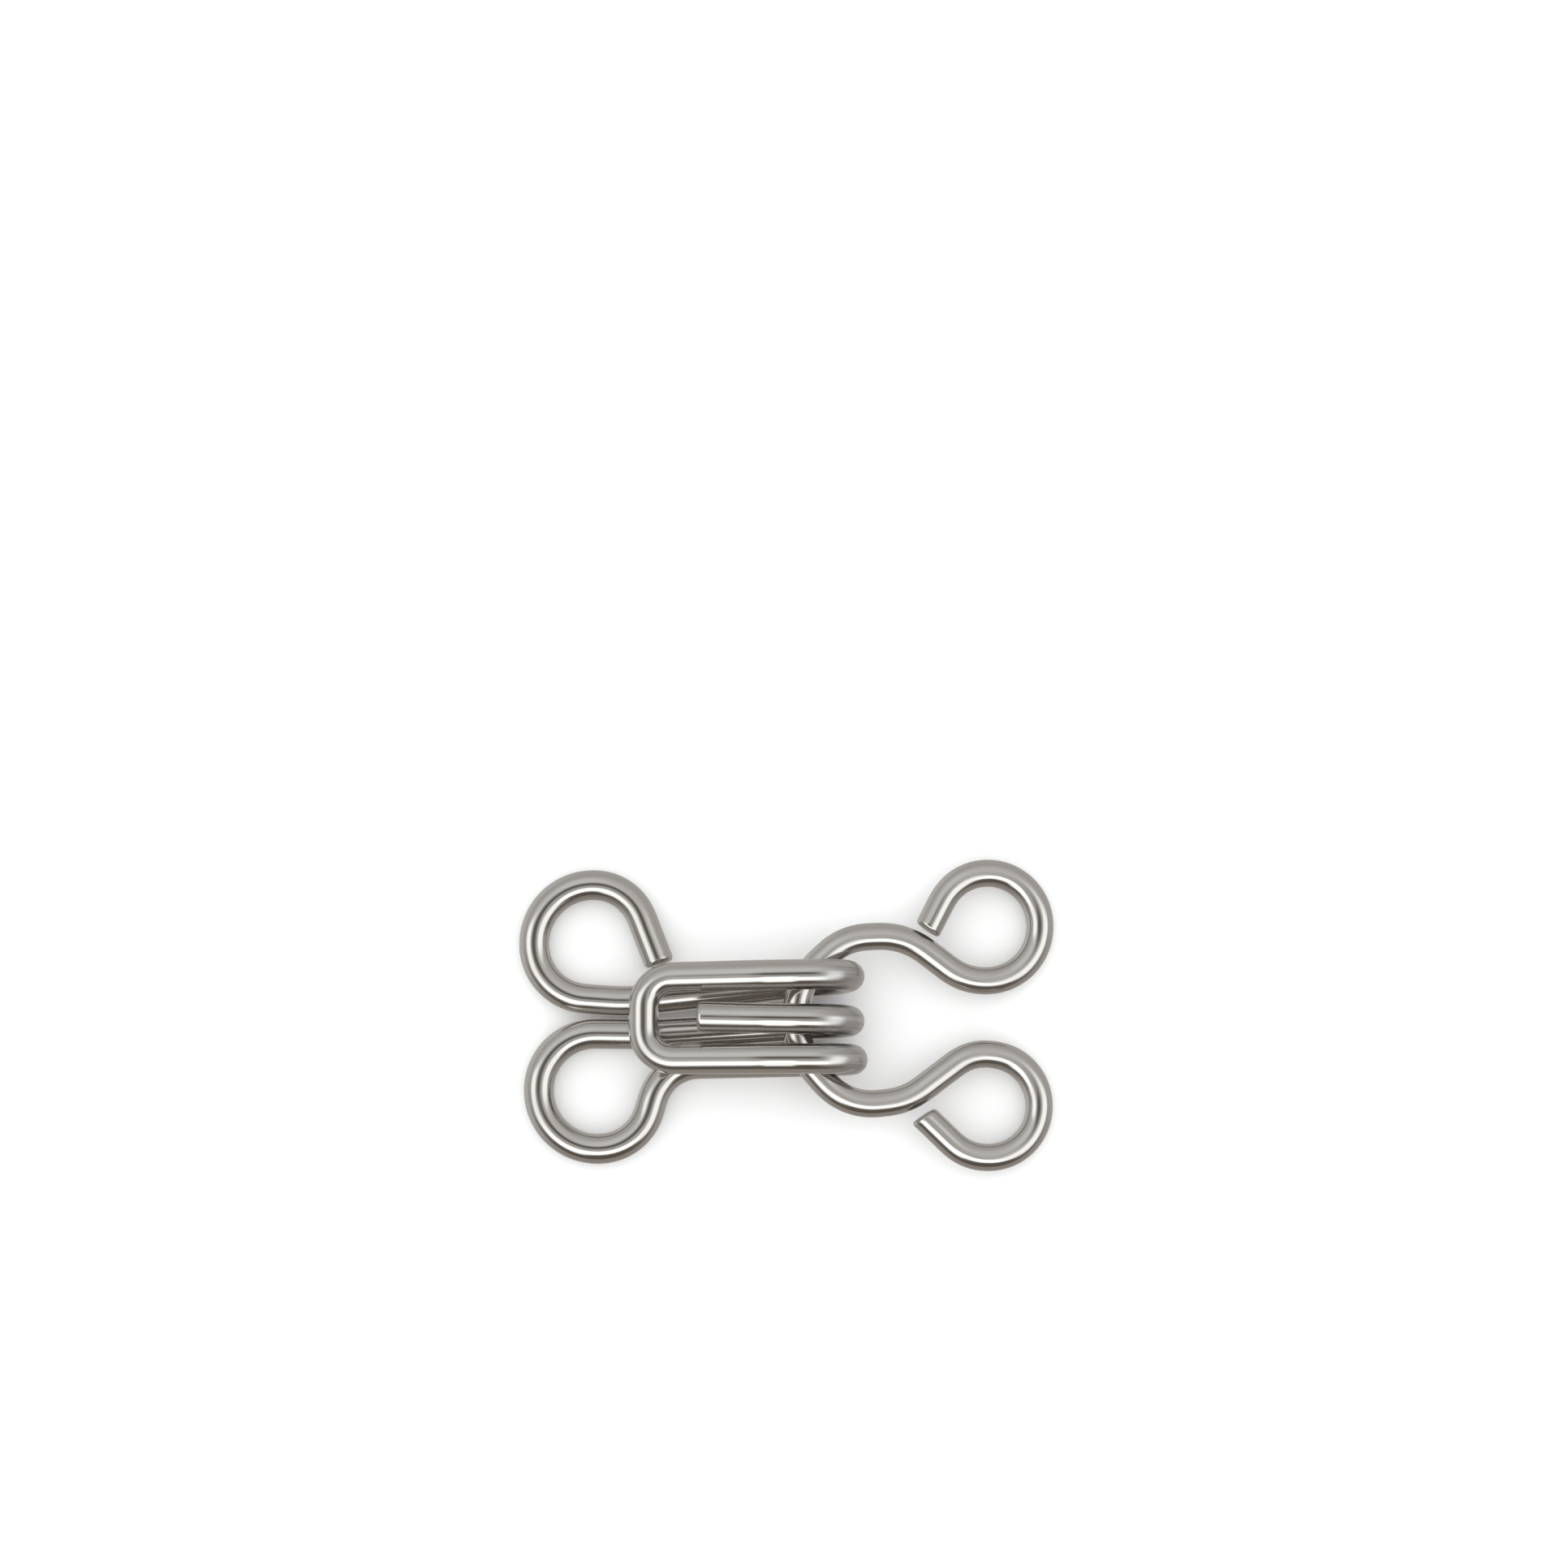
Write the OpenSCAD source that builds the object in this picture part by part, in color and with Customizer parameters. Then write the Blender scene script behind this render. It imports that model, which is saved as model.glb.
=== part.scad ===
/* [Wire] */
// Diameter of the wire that the hook is bent from
hook_wire_d = 1.1; // [1:0.05:1.1]
// Diameter of the wire that the eye is bent from
eye_wire_d = 1; // [0.9:0.05:1]
// Width of the bevel round each sheared wire end
cut_bevel = 0.1; // [0.05:0.01:0.15]

/* [Hook] */
// Outside diameter of the far one of the hook's sewing rings
hook_ring_d = 5.38; // [5.3:0.02:5.4]
// Length of the bill, from the outside of the fold to the outside of its tip
bill_l = 8.7; // [8.4:0.1:9]
// Width of the bill over its two prongs
bill_w = 4.18; // [4.1:0.02:4.3]
// Height of the folded hook above the cloth
hook_h = 3.55; // [3.5:0.05:3.7]
// How far the tip of the bill dips towards the base
tip_drop = 0.7; // [0.4:0.05:0.9]
// Length of the tongue, from the outside of the fold to its cut end
tongue_l = 6.18; // [5.6:0.01:6.4]
// Distance from the outside of the fold to the outside of the sewing rings
hook_l = 12.75; // [12.6:0.01:13]

/* [Eye] */
// Outside diameter of the far one of the eye's sewing rings
eye_ring_d = 4.92; // [4.88:0.01:4.96]
// Length of the eye, from its bar to the outside of its sewing rings
eye_l = 10.03; // [10:0.01:10.2]
// Width of the eye over both sewing rings
eye_w = 11.4; // [11.3:0.02:11.5]
// Width of the eye over the shoulders next to the bar
shoulder_w = 7.1; // [7.04:0.02:7.16]

/* [Fastened] */
// How deep the eye's bar lies in the hook, from the outside of the fold
hooked_l = 3.2; // [3.15:0.01:3.25]
// Gap between the eye and the base strands that it lies on
seat_gap = 0.08; // [0.06:0.01:0.1]

/* [Hidden] */
$fn = 64;

// Columns of a wire's corner table: where the wire would meet itself if it were
// not rounded there, and the radius to the wire's middle that it is bent with
X = 0;
Y = 1;
Z = 2;
BEND_R = 3;

// How many times smaller than real the wires are while they are bent
WORK_SCALE = 20;

// A half turn is bent a little tighter than its room, so that a short straight
// run is left between its two quarter bends
BEND_SLACK = 0.02;

// The clasp lies centred on its own length and width, with the floor at zero
clasp_l = hook_l + eye_l - hooked_l;
fold_x = hook_l - clasp_l / 2;
far_end_x = clasp_l / 2;

// Levels of the wire's middle: base strands on the cloth, bill above them
base_z = hook_wire_d / 2;
bill_z = hook_h - hook_wire_d / 2;
tip_z = bill_z - tip_drop;
fold_r = (bill_z - base_z) / 2 - BEND_SLACK;

// Strands of the hook, from the far side of the view to the near side
HOOK_AXIS_Y = -0.15;
prong_half = (bill_w - hook_wire_d) / 2;
far_y = HOOK_AXIS_Y + prong_half;
near_y = HOOK_AXIS_Y - prong_half;
tongue_y = HOOK_AXIS_Y - 0.12;

// The two base strands that come out of the sewing rings, side by side
STRAND_GAP = 0.1;
base_mid_y = HOOK_AXIS_Y + 0.05;
base_far_y = base_mid_y + (hook_wire_d + STRAND_GAP) / 2;
base_near_y = base_mid_y - (hook_wire_d + STRAND_GAP) / 2;

// Fold: the near strand goes a little further out than the other two
FOLD_STAGGER = 0.11;
near_fold_x = fold_x - hook_wire_d / 2;
far_fold_x = near_fold_x - FOLD_STAGGER;

// Bill: level as far as a gentle bend, then dipping to the rounded tip
LEVEL_L = 3.75;
GENTLE_R = 6;
TIP_R = 1.05;
level_end_x = fold_x - LEVEL_L;
tip_x = fold_x - bill_l + hook_wire_d / 2;
tongue_end_x = fold_x - tongue_l;
tongue_end_z = bill_z - 0.35 * tip_drop;

// Sewing rings of the hook, as squares that the wire is bent round. The near ring
// is a little smaller and lies a little further in.
NEAR_RING_SETBACK = 0.19;
ring_x = fold_x - hook_l + hook_wire_d / 2;
near_ring_x = ring_x + NEAR_RING_SETBACK;
ring_side = hook_ring_d - hook_wire_d;
near_ring_side = ring_side - 0.1;
ring_far_y = base_far_y + ring_side;
ring_near_y = base_near_y - near_ring_side;
ring_r = ring_side / 2 + 0.01;

// One wire from the far ring's cut end, through both rings, to the tongue
HOOK_PATH = [
    // Far sewing ring, from its cut end to the first base strand
    [ring_x + 4.6, ring_far_y - 2.9, base_z, 0],
    [ring_x + 3.47, ring_far_y, base_z, 1.85],
    [ring_x, ring_far_y, base_z, ring_r],
    [ring_x, base_far_y + 0.23, base_z, ring_r - 0.14],
    [ring_x + 3.36, base_far_y, base_z, GENTLE_R],
    // Far fold, far prong, tip, near prong and near fold
    [far_fold_x, far_y - 0.06, base_z, fold_r],
    [far_fold_x, far_y, bill_z, fold_r],
    [level_end_x, far_y - 0.05, bill_z, GENTLE_R],
    [tip_x, far_y - 0.12, tip_z, TIP_R],
    [tip_x, near_y, tip_z, TIP_R],
    [level_end_x, near_y, bill_z, GENTLE_R],
    [near_fold_x, near_y, bill_z, fold_r],
    [near_fold_x, near_y + 0.03, base_z, fold_r],
    // Near base strand, with the S-bend into the near sewing ring
    [ring_x + 4.71, near_y - 0.11, base_z, 1.75],
    [ring_x + 3.84, ring_near_y, base_z, 1.92],
    [near_ring_x, ring_near_y, base_z, near_ring_side / 2 + 0.05],
    [near_ring_x, base_near_y + 0.06, base_z, near_ring_side / 2 - 0.05],
    [ring_x + 4.3, base_near_y, base_z, GENTLE_R],
    // Middle fold and the tongue, to its cut end
    [far_fold_x, tongue_y, base_z, fold_r],
    [far_fold_x, tongue_y, bill_z, fold_r],
    [level_end_x, tongue_y + 0.04, bill_z, GENTLE_R],
    [tongue_end_x, tongue_y + 0.1, tongue_end_z, 0],
];

// The eye lies flat in its own plane, with x = 0 along its far edge, and leans
// back about that edge until it rests on the hook's base strands. Its bar then
// lies a little higher than the places where it crosses those strands.
BAR_RISE = 0.18;
eye_run = eye_l - eye_wire_d;
eye_lean = asin((hook_wire_d + seat_gap + BAR_RISE) / eye_run);

// Shoulders and ring edges of the eye. The near ring is bent a little tighter and
// lies a little further in.
SHOULDER_MID_Y = -0.21;
shoulder_far_y = SHOULDER_MID_Y + (shoulder_w - eye_wire_d) / 2;
shoulder_near_y = SHOULDER_MID_Y - (shoulder_w - eye_wire_d) / 2;
eye_half = (eye_w - eye_wire_d) / 2;
far_side = eye_ring_d - eye_wire_d;
near_side = far_side - 0.38;
near_edge_x = -0.05;
far_r = min(1.91, far_side / 2 - 0.05);
near_r = near_side / 2 + 0.08;

// One wire from the far ring's cut end, round the bar, to the near ring's cut end
EYE_PATH = [
    // Far sewing ring and its S-bend
    [-4.19, eye_half - 2.1, 0, 0],
    [-3.1, eye_half, 0, 1.91],
    [0, eye_half, 0, far_r],
    [0, eye_half - far_side, 0, far_r + 0.1],
    [-2.81, eye_half - far_side - 0.04, 0, 2.17],
    // Far shoulder, the rounded bar and near shoulder
    [-5.03, shoulder_far_y + 0.05, 0, 2.7],
    [-7.25, shoulder_far_y - 0.06, 0, 2.3],
    [-eye_run, 1.12, 0, 2.65],
    [-eye_run, -1.34, 0, 2.65],
    [-7.21, shoulder_near_y - 0.13, 0, 2.3],
    [-4.96, shoulder_near_y + 0.12, 0, 2.58],
    // S-bend and near sewing ring
    [-2.56, near_side + 0.32 - eye_half, 0, 1.81],
    [near_edge_x, near_side - eye_half, 0, near_r],
    [near_edge_x, -eye_half, 0, near_r + 0.03],
    [-2.76, -eye_half, 0, 1.84],
    [-4.35, 1.51 - eye_half, 0, 0],
];

function corner(path, i) = [path[i][X], path[i][Y], path[i][Z]];
function unit(v) = v / norm(v);

// Direction of the straight run that starts at corner i
function heading(path, i) = unit(corner(path, i + 1) - corner(path, i));

// Angle that the wire turns through at corner i, none at its two ends
function turn(path, i) =
    i == 0 || i == len(path) - 1
        ? 0
        : atan2(
            norm(cross(heading(path, i - 1), heading(path, i))),
            heading(path, i - 1) * heading(path, i)
        );

// Length that the bend at corner i takes from the run on either side of it
function setback(path, i) = path[i][BEND_R] * tan(turn(path, i) / 2);

// Straight length left between the bends at corners i and i + 1
function run(path, i) =
    norm(corner(path, i + 1) - corner(path, i)) - setback(path, i) - setback(path, i + 1);

// Direction from the wire to the middle of bend i, where that bend starts
function inward(path, i) =
    unit(heading(path, i) - (heading(path, i) * heading(path, i - 1)) * heading(path, i - 1));

// The same direction where that bend ends
function inward_after(path, i) =
    cos(turn(path, i)) * inward(path, i) - sin(turn(path, i)) * heading(path, i - 1);

// Angle that the wire is rolled through on its own axis before bend i
function roll(path, i) =
    i < 2
        ? 0
        : atan2(
            cross(inward_after(path, i - 1), inward(path, i)) * heading(path, i - 1),
            inward_after(path, i - 1) * inward(path, i)
        );

// One bend of the wire: it starts upwards at the origin and turns towards +X
module bend(angle, radius, wire_d) {
    translate([radius, 0, 0])
        rotate([90, 0, 0])
            rotate([0, 0, 180 - angle])
                rotate_extrude(angle = angle)
                    translate([radius, 0])
                        circle(d = wire_d);
}

// Straight run upwards from the origin, bevelled at either end that is a cut one
module straight(length, wire_d, start_bevel, end_bevel) {
    middle = length - start_bevel - end_bevel;
    if (start_bevel > 0)
        cylinder(h = start_bevel, d1 = wire_d - 2 * start_bevel, d2 = wire_d);
    translate([0, 0, start_bevel])
        cylinder(h = middle, d = wire_d);
    if (end_bevel > 0)
        translate([0, 0, start_bevel + middle])
            cylinder(h = end_bevel, d1 = wire_d, d2 = wire_d - 2 * end_bevel);
}

// Rest of the wire from corner i on, as it is fed, rolled and bent
module wire_from(path, wire_d, bevel, i) {
    last = len(path) - 2;
    length = run(path, i);
    straight(length, wire_d, i == 0 ? bevel : 0, i == last ? bevel : 0);
    if (i < last) {
        angle = turn(path, i + 1);
        radius = path[i + 1][BEND_R];
        translate([0, 0, length])
            rotate([0, 0, roll(path, i + 1)]) {
                bend(angle, radius, wire_d);
                translate([radius, 0, 0])
                    rotate([0, angle, 0])
                        translate([-radius, 0, 0])
                            wire_from(path, wire_d, bevel, i + 1);
            }
    }
}

// Whole wire along the corners of its table. It is bent at a small working scale
// and then enlarged, so that rounding leaves no step where a bend meets a run.
module wire(path, wire_d) {
    ahead = heading(path, 0);
    side = inward(path, 1);
    third = cross(ahead, side);
    start = corner(path, 0);
    small = [for (row = path) row / WORK_SCALE];
    multmatrix([
        [side[X], third[X], ahead[X], start[X]],
        [side[Y], third[Y], ahead[Y], start[Y]],
        [side[Z], third[Z], ahead[Z], start[Z]],
        [0, 0, 0, 1],
    ])
        scale(WORK_SCALE)
            wire_from(small, wire_d / WORK_SCALE, cut_bevel / WORK_SCALE, 0);
}

// The hook: two sewing rings, base strands, fold, bill with its tip, tongue
module hook() {
    color("silver")
        wire(HOOK_PATH, hook_wire_d);
}

// The eye: two sewing rings, shoulders and the rounded bar in the hook
module eye() {
    color("silver")
        translate([far_end_x - eye_wire_d / 2, 0, eye_wire_d / 2])
            rotate([0, eye_lean, 0])
                wire(EYE_PATH, eye_wire_d);
}

hook();
eye();
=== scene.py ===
"""Hook and eye clasp of bright plated wire, fastened, lying on a pale floor in soft studio light."""

import math

import bpy
import numpy as np
from mathutils import Matrix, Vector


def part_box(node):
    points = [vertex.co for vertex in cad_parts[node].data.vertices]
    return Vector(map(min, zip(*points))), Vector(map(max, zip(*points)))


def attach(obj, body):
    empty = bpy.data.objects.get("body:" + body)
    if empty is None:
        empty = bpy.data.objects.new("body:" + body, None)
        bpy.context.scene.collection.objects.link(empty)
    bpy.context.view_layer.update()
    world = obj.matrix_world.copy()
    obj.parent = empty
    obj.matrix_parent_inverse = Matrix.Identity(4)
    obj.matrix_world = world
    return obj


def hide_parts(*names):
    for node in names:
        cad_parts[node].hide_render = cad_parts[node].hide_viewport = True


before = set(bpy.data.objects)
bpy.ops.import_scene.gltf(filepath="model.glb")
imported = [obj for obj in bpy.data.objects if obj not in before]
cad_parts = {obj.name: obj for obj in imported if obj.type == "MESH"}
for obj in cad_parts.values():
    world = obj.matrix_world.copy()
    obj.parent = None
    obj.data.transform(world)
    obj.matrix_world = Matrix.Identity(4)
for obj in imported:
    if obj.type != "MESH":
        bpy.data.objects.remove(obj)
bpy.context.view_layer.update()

MM = 0.001

# Wire of the two halves, in millimetres
HOOK_WIRE = 1.1
EYE_WIRE = 1.0

# Spacing of the sections along a wire and their number of sides
SECTION_STEP = 0.06
SECTION_SIDES = 72

# A bend eases in and out over about this length, as springy wire does
BEND_EASE = 0.16

# A cut end's slant fades in over this last stretch of the wire
SLANT_FADE = 1.1

# Rounded rims of the cut ends, and their slants: how far an end leans along the
# wire for each millimetre along x, y and z, at the wire's start and at its end
HOOK_RIM = 0.16
EYE_RIM = 0.12
HOOK_SLANTS = ((-0.045, -0.018, 0), (0, 0, 0))
EYE_SLANTS = ((-0.126, 0.052, 0), (-0.143, -0.16, 0))

# Colours of the plating on both halves and of the bare steel at their cut ends
NICKEL = (0.53, 0.51, 0.485)
STEEL = (0.34, 0.325, 0.305)


def box_mm(node):
    """Lowest and highest corner of a CAD node, in millimetres."""
    low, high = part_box(node)
    return np.array(low) / MM, np.array(high) / MM


def unit(vectors):
    """Each row divided by its own length."""
    return vectors / np.linalg.norm(vectors, axis=-1, keepdims=True)


def smooth(values, low, high):
    """0 below low, 1 above high, and 3t^2 - 2t^3 between them, where t is the share of the way."""
    share = np.clip((values - low) / (high - low), 0, 1)
    return share * share * (3 - 2 * share)


def hook_corners():
    """Corner table of the hook's wire: x, y and z in millimetres, and the radius of the bend there.

    It runs from the far ring's cut end through both rings, the fold and the bill to the tongue's cut end.
    """
    low, high = box_mm("hook")
    half = HOOK_WIRE / 2
    bend_slack = 0.02
    fold_x, base_z, bill_z = high[0], half, high[2] - half
    tip_drop, bill_l, bill_w, tongue_l = 0.7, 8.7, 4.18, 6.18
    tip_z = bill_z - tip_drop
    fold_r = (bill_z - base_z) / 2 - bend_slack
    axis_y = -0.15
    far_y, near_y = axis_y + (bill_w - HOOK_WIRE) / 2, axis_y - (bill_w - HOOK_WIRE) / 2
    tongue_y = axis_y - 0.12
    strand_gap = 0.1
    base_mid_y = axis_y + 0.05
    base_far_y, base_near_y = base_mid_y + half + strand_gap / 2, base_mid_y - half - strand_gap / 2
    near_fold_x = fold_x - half
    far_fold_x = near_fold_x - 0.11
    level_end_x, tip_x = fold_x - 3.75, fold_x - bill_l + half
    ring_x, ring_far_y, ring_near_y = low[0] + half, high[1] - half, low[1] + half
    near_ring_x = ring_x + 0.19
    ring_side, near_ring_side = ring_far_y - base_far_y, base_near_y - ring_near_y
    ring_r = ring_side / 2 + 0.01
    gentle_r, tip_r = 6, 1.05
    return np.array([
        [ring_x + 4.6, ring_far_y - 2.9, base_z, 0],
        [ring_x + 3.47, ring_far_y, base_z, 1.85],
        [ring_x, ring_far_y, base_z, ring_r],
        [ring_x, base_far_y + 0.23, base_z, ring_r - 0.14],
        [ring_x + 3.36, base_far_y, base_z, gentle_r],
        [far_fold_x, far_y - 0.06, base_z, fold_r],
        [far_fold_x, far_y, bill_z, fold_r],
        [level_end_x, far_y - 0.05, bill_z, gentle_r],
        [tip_x, far_y - 0.12, tip_z, tip_r],
        [tip_x, near_y, tip_z, tip_r],
        [level_end_x, near_y, bill_z, gentle_r],
        [near_fold_x, near_y, bill_z, fold_r],
        [near_fold_x, near_y + 0.03, base_z, fold_r],
        [ring_x + 4.71, near_y - 0.11, base_z, 1.75],
        [ring_x + 3.84, ring_near_y, base_z, 1.92],
        [near_ring_x, ring_near_y, base_z, near_ring_side / 2 + 0.05],
        [near_ring_x, base_near_y + 0.06, base_z, near_ring_side / 2 - 0.05],
        [ring_x + 4.3, base_near_y, base_z, gentle_r],
        [far_fold_x, tongue_y, base_z, fold_r],
        [far_fold_x, tongue_y, bill_z, fold_r],
        [level_end_x, tongue_y + 0.04, bill_z, gentle_r],
        [fold_x - tongue_l, tongue_y + 0.1, bill_z - 0.35 * tip_drop, 0],
    ])


def eye_corners():
    """Corner table of the eye's wire, laid out flat and then leant back about its far edge onto the hook."""
    low, high = box_mm("eye")
    half = EYE_WIRE / 2
    bar_back, bar_up = high[0] - low[0] - EYE_WIRE, high[2] - EYE_WIRE
    run, lean = math.hypot(bar_back, bar_up), math.atan2(bar_up, bar_back)
    eye_half = high[1] - half
    shoulder_y, shoulder_half = -0.21, 3.05
    far_y, near_y = shoulder_y + shoulder_half, shoulder_y - shoulder_half
    far_side, near_side, near_edge_x = 3.92, 3.54, -0.05
    far_r, near_r = 1.91, near_side / 2 + 0.08
    flat = np.array([
        [-4.19, eye_half - 2.1, 0, 0],
        [-3.1, eye_half, 0, 1.91],
        [0, eye_half, 0, far_r],
        [0, eye_half - far_side, 0, far_r + 0.1],
        [-2.81, eye_half - far_side - 0.04, 0, 2.17],
        [-5.03, far_y + 0.05, 0, 2.7],
        [-7.25, far_y - 0.06, 0, 2.3],
        [-run, 1.12, 0, 2.65],
        [-run, -1.34, 0, 2.65],
        [-7.21, near_y - 0.13, 0, 2.3],
        [-4.96, near_y + 0.12, 0, 2.58],
        [-2.56, near_side + 0.32 - eye_half, 0, 1.81],
        [near_edge_x, near_side - eye_half, 0, near_r],
        [near_edge_x, -eye_half, 0, near_r + 0.03],
        [-2.76, -eye_half, 0, 1.84],
        [-4.35, 1.51 - eye_half, 0, 0],
    ])
    leant = flat.copy()
    leant[:, 0] = flat[:, 0] * math.cos(lean) + high[0] - half
    leant[:, 2] = half - flat[:, 0] * math.sin(lean)
    return leant


def bell(reach, step, spread):
    """Shares of a bell-shaped average: e^(-(i*step/spread)^2/2) for i from -reach to reach, with sum 1."""
    heights = np.exp(-0.5 * (np.arange(-reach, reach + 1) * step / spread) ** 2)
    return heights / heights.sum()


def bent_line(corners, step, ease):
    """Middle line of a wire bent at each corner of its table, as points at even steps of its length.

    A corner with bend radius r and turn w is rounded by an arc from r*tan(w/2) before it to as far after it,
    so runs and arcs alternate. At a length u into one of them, the line is at its start plus u*sinc(a/pi)
    along its first heading and u*(a/2)*sinc(a/2pi)^2 towards the arc's middle, where a = u/r, or 0 on a run.
    A bell-shaped average over the length ease then lets each bend begin and end softly.
    """
    points, radii = corners[:, :3], corners[:, 3]
    legs = np.diff(points, axis=0)
    ahead = unit(legs)
    cosine = (ahead[:-1] * ahead[1:]).sum(1)
    turns = np.arctan2(np.linalg.norm(np.cross(ahead[:-1], ahead[1:]), axis=1), cosine)
    setback = np.zeros(len(points))
    setback[1:-1] = radii[1:-1] * np.tan(turns / 2)
    count = len(legs) * 2 - 1
    lengths, curvature = np.empty(count), np.zeros(count)
    starts, first, inward = np.empty((count, 3)), np.empty((count, 3)), np.zeros((count, 3))
    lengths[0::2] = np.linalg.norm(legs, axis=1) - setback[:-1] - setback[1:]
    lengths[1::2] = radii[1:-1] * turns
    curvature[1::2] = 1 / radii[1:-1]
    starts[0::2] = points[:-1] + ahead * setback[:-1, None]
    starts[1::2] = points[1:-1] - ahead[:-1] * setback[1:-1, None]
    first[0::2], first[1::2] = ahead, ahead[:-1]
    inward[1::2] = unit(ahead[1:] - cosine[:, None] * ahead[:-1])
    ends = np.cumsum(lengths)
    sections = int(round(ends[-1] / step)) + 1
    place = np.linspace(0, ends[-1], sections)
    k = np.clip(np.searchsorted(ends, place, side="right"), 0, count - 1)
    into = place - ends[k] + lengths[k]
    angle = into * curvature[k]
    forward = into * np.sinc(angle / math.pi)
    sideways = into * angle / 2 * np.sinc(angle / 2 / math.pi) ** 2
    line = starts[k] + forward[:, None] * first[k] + sideways[:, None] * inward[k]
    reach = int(3 * ease / step) + 1
    share = bell(reach, step, ease)
    padded = np.concatenate([
        2 * line[0] - line[reach:0:-1],
        line,
        2 * line[-1] - line[-2:-reach - 2:-1],
    ])
    eased = [np.convolve(padded[:, i], share, "valid") for i in range(3)]
    return np.stack(eased, 1), place


def side_vectors(along):
    """Two unit vectors square to each heading, carried along the line without twist.

    The turn from one heading to the next is the rotation I + K + K^2/(1 + c), where K is the cross matrix of
    the two headings and c their product. The running product of these turns, built by doubling, carries the
    first pair.
    """
    axis = np.cross(along[:-1], along[1:])
    cosine = (along[:-1] * along[1:]).sum(1)
    cross = np.zeros((len(axis), 3, 3))
    cross[:, 0, 1], cross[:, 0, 2], cross[:, 1, 2] = -axis[:, 2], axis[:, 1], -axis[:, 0]
    cross -= cross.transpose(0, 2, 1)
    turns = np.eye(3) + cross + cross @ cross / (1 + cosine)[:, None, None]
    carried = np.concatenate([np.eye(3)[None], turns])
    reach = 1
    while reach < len(carried):
        carried[reach:] = carried[reach:] @ carried[:-reach]
        reach *= 2
    side = unit(np.cross(along[0], [0.3, 0.2, 1.0]))
    up = np.cross(along[0], side)
    return carried @ side, carried @ up


def tube_faces(rows, sides):
    """Faces of a closed grid of rows x sides points: quads, and a fan round the pole at each end.

    Point (i, j) has number i*sides + j, the head's pole has rows*sides and the tail's pole the next. Faces
    are wound so that they point outwards.
    """
    i, j = np.meshgrid(np.arange(rows - 1), np.arange(sides), indexing="ij")
    turned = (j + 1) % sides
    quads = np.stack([i * sides + j, i * sides + turned, (i + 1) * sides + turned, (i + 1) * sides + j], -1)
    j = np.arange(sides)
    turned = (j + 1) % sides
    head = np.stack([np.full(sides, rows * sides), turned, j], -1)
    last = (rows - 1) * sides
    tail = np.stack([np.full(sides, rows * sides + 1), last + j, last + turned], -1)
    return quads.reshape(-1, 4), np.concatenate([head, tail])


def mesh_piece(name, points, quads, triangles, marks):
    """A smooth-shaded mesh object from arrays of points in millimetres, of faces and of marks on the points."""
    mesh = bpy.data.meshes.new(name)
    corners = np.concatenate([quads.ravel(), triangles.ravel()])
    sizes = np.concatenate([np.full(len(quads), 4), np.full(len(triangles), 3)])
    mesh.vertices.add(len(points))
    mesh.vertices.foreach_set("co", (points * MM).astype(np.float32).ravel())
    mesh.loops.add(len(corners))
    mesh.loops.foreach_set("vertex_index", corners.astype(np.int32))
    mesh.polygons.add(len(sizes))
    mesh.polygons.foreach_set("loop_start", (np.cumsum(sizes) - sizes).astype(np.int32))
    mesh.polygons.foreach_set("use_smooth", np.ones(len(sizes), bool))
    for mark, values in marks.items():
        kind, field = ("FLOAT_VECTOR", "vector") if values.ndim == 2 else ("FLOAT", "value")
        mesh.attributes.new(mark, kind, "POINT").data.foreach_set(field, values.astype(np.float32).ravel())
    mesh.update(calc_edges=True)
    mesh.validate()
    piece = bpy.data.objects.new(name, mesh)
    bpy.context.scene.collection.objects.link(piece)
    return piece


def cut_rows(radius, rim, count):
    """Stations and shares of the radius from the middle of a cut end out over its rounded rim.

    The flat part has share t*(1 - rim/radius) for t from 0 to 1, and the rim is a quarter circle: at an angle
    b it is rim*(1 - cos b) along the wire and at the share 1 - rim/radius*(1 - sin b).
    """
    flat = np.linspace(0, 1, count + 1)[1:] * (1 - rim / radius)
    bend = np.linspace(0, math.pi / 2, count + 1)[1:-1]
    stations = np.concatenate([np.zeros(count), rim * (1 - np.cos(bend))])
    shares = np.concatenate([flat, 1 - rim / radius * (1 - np.sin(bend))])
    return stations, shares


def fold_mark(along, place):
    """How tightly the line bends about the y axis, as only the hook's fold does: |(h x dh/ds).y|, averaged."""
    reach, spread = 30, 0.4
    folding = np.abs(np.cross(along, np.gradient(along, place, axis=0))[:, 1])
    return np.convolve(folding, bell(reach, SECTION_STEP, spread), "same")


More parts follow.
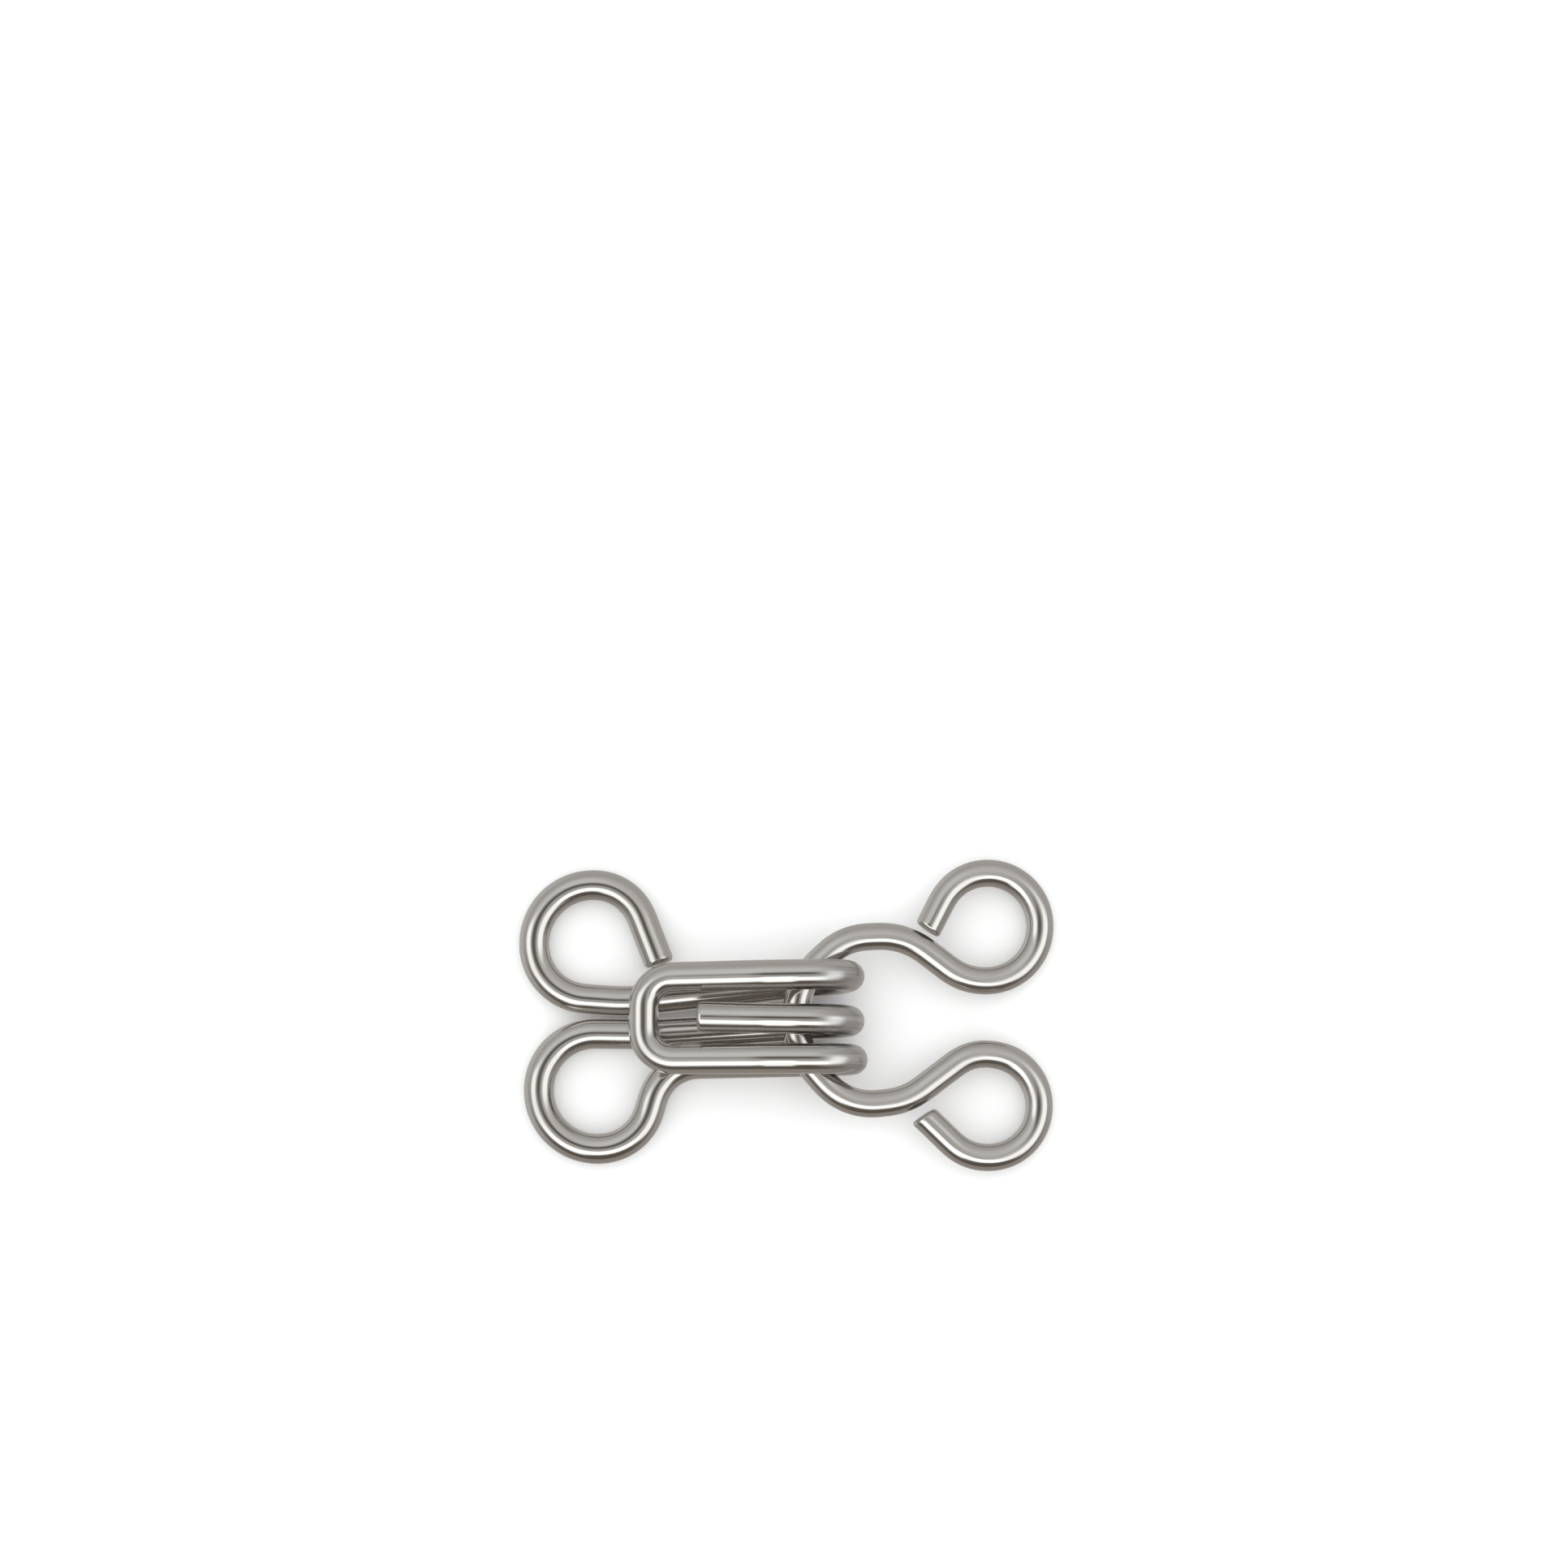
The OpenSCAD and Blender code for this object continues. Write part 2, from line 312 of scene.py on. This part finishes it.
def wire_piece(name, corners, wire_d, rim, slants, press):
    """A drawn round wire carried along its bent line, sheared off at a slant at both ends.

    A point of the skin is line(s) + share(s)*wire_d/2*press(n, x)*n(s, a), where n is the unit vector at an
    angle a round the line. Towards each end it is also moved along the line by its offset from the line times
    that end's slant, which fades in over the last stretch. Each point is marked with its place on the drawn
    wire (cos a, sin a, s), with how far it is on the bare cut face and with how far it is in the fold.
    """
    radius, rim_rows = wire_d / 2, 7
    line, place = bent_line(corners, SECTION_STEP, BEND_EASE)
    length = place[-1]
    stations, shares = cut_rows(radius, rim, rim_rows)
    body = np.arange(rim, length - rim, SECTION_STEP)
    at = np.concatenate([stations, body, [length - rim], length - stations[::-1]])
    share = np.concatenate([shares, np.ones(len(body) + 1), shares[::-1]])

    def here(values):
        return np.stack([np.interp(at, place, values[:, i]) for i in range(3)], 1)

    middle = here(line)
    along = unit(np.gradient(line, axis=0))
    folding = fold_mark(along, place)
    side, up = side_vectors(along)
    along, side, up = unit(here(along)), unit(here(side)), unit(here(up))
    angle = np.arange(SECTION_SIDES) / SECTION_SIDES * 2 * math.pi
    out = np.cos(angle)[None, :, None] * side[:, None] + np.sin(angle)[None, :, None] * up[:, None]
    offset = out * (share * radius)[:, None, None] * press(out, middle[:, None])[:, :, None]
    from_ends = (at, length - at)
    for from_end, slant in zip(from_ends, slants):
        weight = smooth(SLANT_FADE - from_end, 0, SLANT_FADE)
        offset = offset + (weight[:, None] * (offset @ np.array(slant)))[:, :, None] * along[:, None]
    skin = middle[:, None] + offset
    grid = (len(at), SECTION_SIDES)
    points = np.concatenate([skin.reshape(-1, 3), skin[:1].mean(1), skin[-1:].mean(1)])
    quads, triangles = tube_faces(*grid)
    round_it = np.broadcast_to(np.stack([np.cos(angle), np.sin(angle)], 1), (*grid, 2))
    drawn = np.concatenate([round_it, np.broadcast_to(at[:, None, None], (*grid, 1))], 2)
    drawn = np.concatenate([drawn.reshape(-1, 3), [[0, 0, 0], [0, 0, length]]])
    bare = np.broadcast_to(smooth(1 - share, 0.02, rim / radius)[:, None], grid)
    bare = np.concatenate([bare.ravel(), [1, 1]])
    worked = np.broadcast_to(smooth(np.interp(at, place, folding), 0.12, 0.8)[:, None], grid)
    worked = np.concatenate([worked.ravel(), worked[[0, -1], 0]])
    return mesh_piece(name, points, quads, triangles, {"drawn": drawn, "bare": bare, "worked": worked})


def no_press(out, middle):
    """A round section everywhere."""
    return np.ones(out.shape[:2])


def bill_press(out, middle):
    """The bill's top, pressed a little flat where the tool held it.

    The flat is square to a direction d in the wire's section. Where a point's own direction n is within an
    angle w of d, its share of the radius is cos(w)/(n.d), faded in and out along x by the window.
    """
    half_angle, tilt, start, end, fade, bill_level = 11, 25, -0.9, 0.35, 0.22, 2.4
    facing_way = np.array([0, -math.sin(math.radians(tilt)), math.cos(math.radians(tilt))])
    x, z = middle[..., 0], middle[..., 2]
    window = smooth(x, start - fade, start + fade) * smooth(end - x, -fade, fade) * (z > bill_level)
    flat = math.cos(math.radians(half_angle)) / np.maximum(out @ facing_way, 0.1)
    return 1 - window * (1 - np.minimum(1, flat))


class Socket:
    """A shader socket. Python's operators on it add Math nodes, and node() adds any other node."""

    def __init__(self, tree, socket=None):
        self.tree = tree
        self.socket = socket

    def node(self, kind, settings=None, inputs=None, output=0):
        """Adds a node, sets its settings, then its sockets from values or links, and returns an output."""
        made = self.tree.nodes.new(kind)
        for key, value in (settings or {}).items():
            setattr(made, key, value)
        for key, value in (inputs or {}).items():
            if isinstance(value, Socket):
                self.tree.links.new(value.socket, made.inputs[key])
            else:
                made.inputs[key].default_value = value
        return Socket(self.tree, made.outputs[output]) if len(made.outputs) else None

    def maths(self, operation, *inputs):
        return self.node("ShaderNodeMath", {"operation": operation}, dict(enumerate(inputs)))

    def __add__(self, other):
        return self.maths("ADD", self, other)

    def __radd__(self, other):
        return self.maths("ADD", other, self)

    def __sub__(self, other):
        return self.maths("SUBTRACT", self, other)

    def __rsub__(self, other):
        return self.maths("SUBTRACT", other, self)

    def __mul__(self, other):
        return self.maths("MULTIPLY", self, other)

    def __rmul__(self, other):
        return self.maths("MULTIPLY", other, self)

    def __truediv__(self, other):
        return self.maths("DIVIDE", self, other)

    def absolute(self):
        return self.maths("ABSOLUTE", self)

    def maximum(self, other):
        return self.maths("MAXIMUM", self, other)

    def dot(self, vector):
        """Dot product of this vector socket with a vector of numbers."""
        fixed = tuple(float(v) for v in vector)
        settings = {"operation": "DOT_PRODUCT"}
        return self.node("ShaderNodeVectorMath", settings, {0: self, 1: fixed}, output="Value")

    def step(self, low, high):
        """0 below low and 1 above high, with a smooth step between them."""
        return self.node(
            "ShaderNodeMapRange", {"interpolation_type": "SMOOTHSTEP"}, {"Value": self, 1: low, 2: high}
        )

    def mix(self, first, second):
        """Colour between first and second by this factor."""
        return self.node("ShaderNodeMix", {"data_type": "RGBA"}, {0: self, 6: first, 7: second}, output=2)


def colour(red, green, blue):
    return (red, green, blue, 1.0)


def plated_wire(name, plate, raw):
    """Bright nickel over drawn steel wire.

    The plate has faint lines along the wire from the drawing die, a few cloudy patches where handling has
    dulled it, and soft ripples where it was bent. In the fold it is stretched, so it is duller there, with
    soft streaks. The sheared ends show bare steel, darker and rougher, with lines of the shear.
    """
    material = bpy.data.materials.new(name)
    material.use_nodes = True
    tree = material.node_tree
    tree.nodes.clear()
    start = Socket(tree)
    drawn = start.node("ShaderNodeAttribute", {"attribute_name": "drawn"}, output=1)
    bare = start.node("ShaderNodeAttribute", {"attribute_name": "bare"}, output=2)
    worked = start.node("ShaderNodeAttribute", {"attribute_name": "worked"}, output=2)
    place = start.node("ShaderNodeTexCoord", output=3)

    def noise(vector, stretch, scale, detail):
        stretched = start.node("ShaderNodeVectorMath", {"operation": "MULTIPLY"}, {0: vector, 1: stretch})
        inputs = {"Vector": stretched, "Scale": scale, "Detail": detail, "Roughness": 0.55}
        return start.node("ShaderNodeTexNoise", None, inputs)

    die_lines = noise(drawn, (1, 1, 0.04), 9, 4)
    fine_lines = noise(drawn, (1, 1, 0.015), 34, 2)
    streaks = noise(drawn, (1, 1, 0.12), 3.2, 3)
    ripples = noise(place, (1, 1, 1), 900, 2)
    clouds = noise(place, (1, 1, 1), 420, 3)
    shear = noise(place, (0.3, 1, 1), 9000, 2)
    dull = clouds.step(0.5, 0.68)
    skin = (dull * 0.35 + die_lines * 0.2).mix(colour(*plate), colour(*(c * 0.93 for c in plate)))
    stretched_plate = streaks.step(0.38, 0.62).mix(colour(0.43, 0.415, 0.405), colour(0.55, 0.53, 0.515))
    skin = worked.mix(skin, stretched_plate)
    surface = bare.mix(skin, colour(*raw))
    rough = 0.14 + dull * 0.05 + fine_lines * 0.03 + worked * 0.16 + bare * 0.2
    height = die_lines * 0.35 + fine_lines * 0.08 + ripples * 2.2 + shear * bare * 6
    normal = start.node("ShaderNodeBump", None, {"Strength": 1.0, "Distance": 1e-6, "Height": height})
    shader = start.node(
        "ShaderNodeBsdfPrincipled",
        None,
        {"Base Color": surface, "Metallic": 1.0, "Roughness": rough, "Normal": normal},
    )
    start.node("ShaderNodeOutputMaterial", None, {"Surface": shader})
    return material


def pale_floor():
    """A wide matt white floor that the clasp lies on."""
    half_width = 2.0
    mesh = bpy.data.meshes.new("floor")
    corners = [(-1, -1, 0), (1, -1, 0), (1, 1, 0), (-1, 1, 0)]
    mesh.from_pydata([tuple(half_width * c for c in corner) for corner in corners], [], [(0, 1, 2, 3)])
    floor = bpy.data.objects.new("floor", mesh)
    bpy.context.scene.collection.objects.link(floor)
    material = bpy.data.materials.new("matt_white")
    material.use_nodes = True
    tree = material.node_tree
    tree.nodes.clear()
    start = Socket(tree)
    white, roughness = colour(0.9, 0.9, 0.9), 0.9
    shader = start.node("ShaderNodeBsdfPrincipled", None, {"Base Color": white, "Roughness": roughness})
    start.node("ShaderNodeOutputMaterial", None, {"Surface": shader})
    mesh.materials.append(material)
    floor.visible_glossy = False


def towards(azimuth, zenith):
    """Unit vector at an azimuth from +X towards +Y and a zenith angle, both in degrees."""
    a, z = math.radians(azimuth), math.radians(zenith)
    return np.array([math.cos(a) * math.sin(z), math.sin(a) * math.sin(z), math.cos(z)])


def softbox(direction, azimuth, zenith, half_width, half_height, end_edge, edge):
    """1 inside a soft-edged rectangular light as the clasp sees it, and 0 outside.

    Its middle is at an azimuth and a zenith angle. Its half width and height, and how softly its two ends and
    its two long sides fade, are angles too. A direction v is at (v.level/v.middle, v.steep/v.middle) on the
    rectangle's plane.
    """
    middle = towards(azimuth, zenith)
    level = unit(np.cross([0, 0, 1.0], middle))
    steep = np.cross(middle, level)
    depth = direction.dot(middle)
    inside = depth.step(0.0, 0.02)
    for axis, half, fade in ((level, half_width, end_edge), (steep, half_height, edge)):
        away = (direction.dot(axis) / depth.maximum(0.01)).absolute()
        inner, outer = (math.tan(math.radians(half + side * fade / 2)) for side in (-1, 1))
        inside = inside * (1 - away.step(inner, outer))
    return inside


def camera_port(start, direction, height):
    """1 at the middle of the dark oval overhead that the camera looks through, fading to 0 at its rim.

    A direction v is at the share |((v.x - x)/sin a, (v.y - y)/sin b)| of the way from the middle (x, y), with
    a and b the oval's half length and half width.
    """
    across, off = 1 / math.sin(math.radians(27)), 1 / math.sin(math.radians(15))
    port_x, port_y = -math.sin(math.radians(3)), math.sin(math.radians(4))
    away = start.node(
        "ShaderNodeVectorMath",
        {"operation": "MULTIPLY_ADD"},
        {0: direction, 1: (across, off, 0), 2: (-port_x * across, -port_y * off, 0)},
    )
    away = start.node("ShaderNodeVectorMath", {"operation": "LENGTH"}, {0: away}, output="Value")
    return (1 - away.step(0.3, 1.0)) * height.step(0.0, 0.1)


def room():
    """The pale room that the bright wire reflects, with soft boxes on its near side and a dark camera port.

    It is dimmer and warmer on the near side, and below the level of the clasp it is a grey table. Nothing
    matt is lit by it.
    """
    world = bpy.data.worlds.new("room")
    bpy.context.scene.world = world
    world.cycles_visibility.diffuse = False
    world.use_nodes = True
    tree = world.node_tree
    tree.nodes.clear()
    start = Socket(tree)
    direction = start.node("ShaderNodeTexCoord", output=0)
    far_side = direction.dot((0, 1, 0)).step(-0.95, 0.2)
    left_side = direction.dot((-1, 0.2, 0)).step(0.2, 1.1)
    height = direction.dot((0, 0, 1))
    wall = height.step(0.1, 1.0).mix(colour(0.58, 0.575, 0.57), colour(0.84, 0.835, 0.83))
    wall = far_side.mix(colour(0.15, 0.128, 0.105), wall)
    table = (far_side * 0.6 + left_side * 0.7).mix(colour(0.42, 0.39, 0.36), colour(0.75, 0.735, 0.72))
    shade = height.step(-0.03, 0.01).mix(table, wall)
    # Radiance of each soft box; then its azimuth, zenith angle, half width, half height and the two fades
    boxes = (
        (0.95, (140, 30, 30, 16, 24, 24)),
        (1.85, (184, 43, 19, 15, 10, 10)),
        (1.7, (226, 44, 26, 15, 10, 10)),
        (2.3, (272, 37, 36, 13, 26, 8)),
        (1.8, (345, 47, 25, 19, 18, 12)),
    )
    lamp_tint = (0.975, 1, 1)
    for radiance, place in boxes:
        shade = softbox(direction, *place).mix(shade, colour(*(radiance * c for c in lamp_tint)))
    shade = camera_port(start, direction, height).mix(shade, colour(0.15, 0.13, 0.11))
    shader = start.node("ShaderNodeBackground", None, {"Color": shade, "Strength": 1.0})
    start.node("ShaderNodeOutputWorld", None, {"Surface": shader})


def sky_lights():
    """Two very wide lights from above that fall on the floor from all round, unseen in the wire."""
    # Name, spread in degrees, strength, and how far each leans from overhead to the far side
    lights = (("sky_light", 165, 4.2, 3), ("mid_light", 120, 0.35, 6))
    for name, spread, energy, zenith in lights:
        light = bpy.data.lights.new(name, "SUN")
        light.angle = math.radians(spread)
        light.energy = energy
        lamp = bpy.data.objects.new(name, light)
        bpy.context.scene.collection.objects.link(lamp)
        lamp.visible_glossy = False
        lamp.matrix_world = facing(towards(90, zenith), 1.0)


def facing(direction, distance):
    """Matrix that puts a thing at a distance along a direction from the clasp, looking back at it."""
    level = unit(np.cross([0, 0, 1.0], direction))
    matrix = np.eye(4)
    matrix[:3, 0], matrix[:3, 1] = level, np.cross(direction, level)
    matrix[:3, 2], matrix[:3, 3] = direction, direction * distance
    return Matrix(matrix.tolist())


def camera():
    """The photograph's camera: a long lens, almost straight above, with the clasp low in the picture."""
    photo_side, lens, sensor = 1932, 150, 36
    clasp_pixel, pixels_per_mm, elevation = (969.0, 1252.3), 33.5, 84.97
    data = bpy.data.cameras.new("camera")
    data.lens, data.sensor_width = lens, sensor
    data.clip_start, data.clip_end = 0.01, 20
    distance = lens / sensor * photo_side / pixels_per_mm
    aim = np.array([
        (photo_side / 2 - clasp_pixel[0]) / pixels_per_mm,
        (clasp_pixel[1] - photo_side / 2) / pixels_per_mm,
        0,
    ])
    back = towards(-90, 90 - elevation)
    place = bpy.data.objects.new("camera", data)
    bpy.context.scene.collection.objects.link(place)
    right = np.array([1.0, 0, 0])
    matrix = np.eye(4)
    matrix[:3, 0], matrix[:3, 1], matrix[:3, 2] = right, np.cross(back, right), back
    matrix[:3, 3] = (aim + back * distance) * MM
    place.matrix_world = Matrix(matrix.tolist())
    bpy.context.scene.camera = place


def dress(piece, node, material):
    """Gives a piece its material and its place in the frame, in the room of a CAD node."""
    piece.data.materials.append(material)
    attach(piece, "root")
    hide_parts(node)


camera()
room()
sky_lights()
pale_floor()

hook = wire_piece("hook_wire", hook_corners(), HOOK_WIRE, HOOK_RIM, HOOK_SLANTS, bill_press)
dress(hook, "hook", plated_wire("hook_nickel", NICKEL, STEEL))
eye = wire_piece("eye_wire", eye_corners(), EYE_WIRE, EYE_RIM, EYE_SLANTS, no_press)
dress(eye, "eye", plated_wire("eye_nickel", NICKEL, STEEL))

scene = bpy.context.scene
scene.view_settings.view_transform = "Standard"
scene.view_settings.look = "None"
